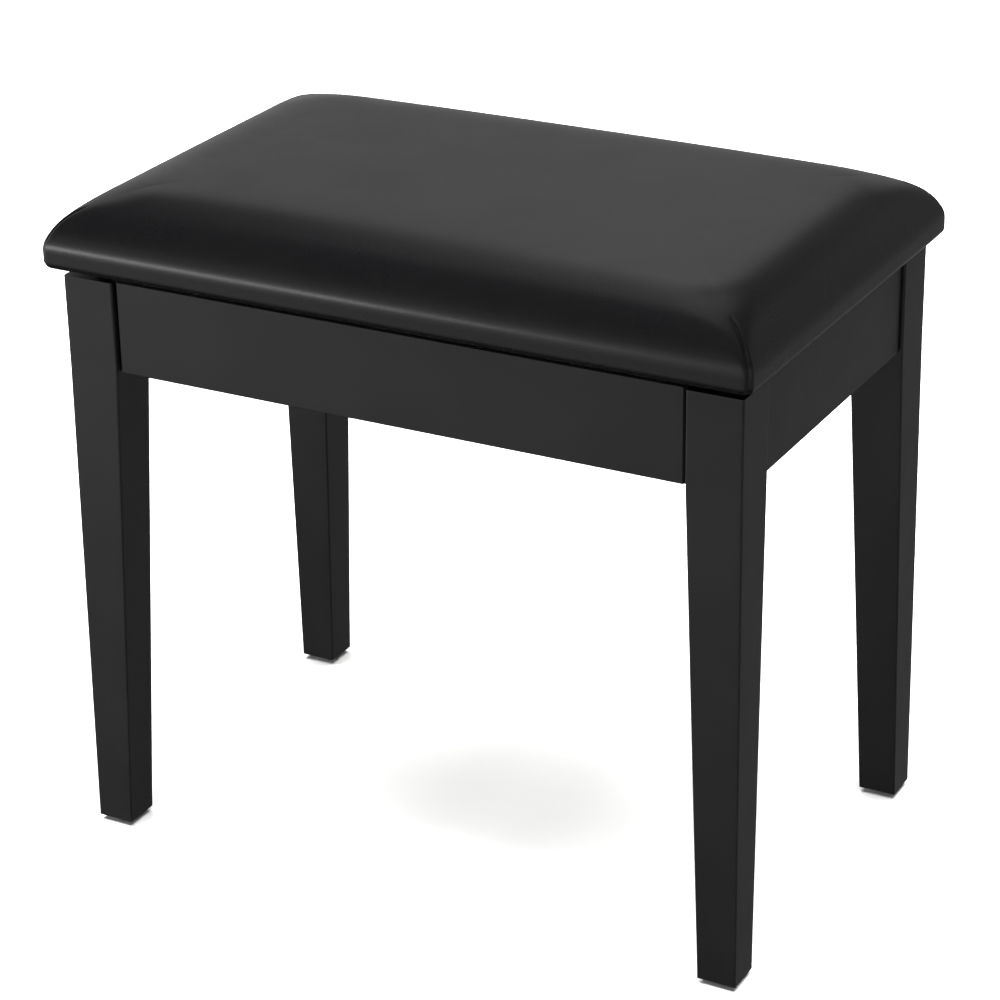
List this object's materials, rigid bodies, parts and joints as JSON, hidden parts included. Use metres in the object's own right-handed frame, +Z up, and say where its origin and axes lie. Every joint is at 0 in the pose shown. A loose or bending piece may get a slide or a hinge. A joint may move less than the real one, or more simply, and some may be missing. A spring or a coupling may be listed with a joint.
{
  "type": "piano bench",
  "caption": "Piano bench: padded leather seat lid, hinged at the back over a shallow music compartment, on an apron frame with tapered legs.",
  "frame": {"origin": "on the floor, under the middle of the seat", "axes": "+X to the right seen from the front, along the long side; +Y to the back, where the lid's hinges are; +Z up"},
  "size_m": [0.56, 0.356, 0.51],
  "materials": {
    "lacquered_wood": "satin",
    "cover_leather": "satin",
    "board_plywood": "matte",
    "seat_foam": "matte",
    "backing_cloth": "matte",
    "zinc_steel": "satin",
    "bumper_rubber": "matte",
    "glide_nylon": "matte"
  },
  "bodies": {
    "frame": {"leg_front_left": "lacquered_wood", "corner_brace_front_left": "lacquered_wood", "foot_glide_front_left": "glide_nylon", "leg_bolt_lower_front_left": "zinc_steel", "leg_bolt_upper_front_left": "zinc_steel", "leg_front_right": "lacquered_wood", "corner_brace_front_right": "lacquered_wood", "foot_glide_front_right": "glide_nylon", "leg_bolt_lower_front_right": "zinc_steel", "leg_bolt_upper_front_right": "zinc_steel", "leg_rear_left": "lacquered_wood", "corner_brace_rear_left": "lacquered_wood", "foot_glide_rear_left": "glide_nylon", "leg_bolt_lower_rear_left": "zinc_steel", "leg_bolt_upper_rear_left": "zinc_steel", "leg_rear_right": "lacquered_wood", "corner_brace_rear_right": "lacquered_wood", "foot_glide_rear_right": "glide_nylon", "leg_bolt_lower_rear_right": "zinc_steel", "leg_bolt_upper_rear_right": "zinc_steel", "apron_front": "lacquered_wood", "floor_cleat_front": "lacquered_wood", "apron_rear": "lacquered_wood", "floor_cleat_rear": "lacquered_wood", "apron_left": "lacquered_wood", "floor_cleat_left": "lacquered_wood", "apron_right": "lacquered_wood", "floor_cleat_right": "lacquered_wood", "compartment_floor": "lacquered_wood", "lid_bumper_front_left": "bumper_rubber", "lid_bumper_front_right": "bumper_rubber", "hinge_frame_leaf_left": "zinc_steel", "hinge_pin_left": "zinc_steel", "hinge_frame_screw_left_1": "zinc_steel", "hinge_frame_screw_left_2": "zinc_steel", "stay_frame_plate_left": "zinc_steel", "hinge_frame_leaf_right": "zinc_steel", "hinge_pin_right": "zinc_steel", "hinge_frame_screw_right_1": "zinc_steel", "hinge_frame_screw_right_2": "zinc_steel", "stay_frame_plate_right": "zinc_steel"},
    "seat_lid": {"seat_board": "board_plywood", "seat_foam": "seat_foam", "seat_cover": "cover_leather", "dust_cover": "backing_cloth", "hinge_lid_leaf_left": "zinc_steel", "hinge_lid_screw_left_1": "zinc_steel", "hinge_lid_screw_left_2": "zinc_steel", "stay_lid_bracket_left": "zinc_steel", "hinge_lid_leaf_right": "zinc_steel", "hinge_lid_screw_right_1": "zinc_steel", "hinge_lid_screw_right_2": "zinc_steel", "stay_lid_bracket_right": "zinc_steel"},
    "left_lower_arm": {"stay_lower_arm_left": "zinc_steel", "stay_elbow_rivet_left": "zinc_steel"},
    "left_upper_arm": {"stay_upper_arm_left": "zinc_steel"},
    "right_lower_arm": {"stay_lower_arm_right": "zinc_steel", "stay_elbow_rivet_right": "zinc_steel"},
    "right_upper_arm": {"stay_upper_arm_right": "zinc_steel"}
  },
  "joints": [
    {"name": "lid_hinge", "type": "hinge", "parent": "frame", "child": "seat_lid", "pos_m": [0, 0.1661, 0.45875], "axis": [-1, 0, 0], "range_deg": [0, 80]},
    {"name": "left_frame_pivot", "type": "hinge", "parent": "frame", "child": "left_lower_arm", "pos_m": [-0.2429, 0.0541, 0.4329], "axis": [-1, 0, 0], "range_deg": [0, 80]},
    {"name": "left_lid_pivot", "type": "hinge", "parent": "seat_lid", "child": "left_upper_arm", "pos_m": [-0.2388, 0.04629, 0.45095], "axis": [-1, 0, 0], "range_deg": [-80, 0]},
    {"name": "right_frame_pivot", "type": "hinge", "parent": "frame", "child": "right_lower_arm", "pos_m": [0.2429, 0.0541, 0.4329], "axis": [-1, 0, 0], "range_deg": [0, 80]},
    {"name": "right_lid_pivot", "type": "hinge", "parent": "seat_lid", "child": "right_upper_arm", "pos_m": [0.2388, 0.04629, 0.45095], "axis": [-1, 0, 0], "range_deg": [-80, 0]}
  ],
  "couplings": [
    {"joint": "left_frame_pivot", "follows": "lid_hinge", "ratio": 1},
    {"joint": "left_lid_pivot", "follows": "lid_hinge", "ratio": -1},
    {"joint": "right_frame_pivot", "follows": "lid_hinge", "ratio": 1},
    {"joint": "right_lid_pivot", "follows": "lid_hinge", "ratio": -1}
  ]
}
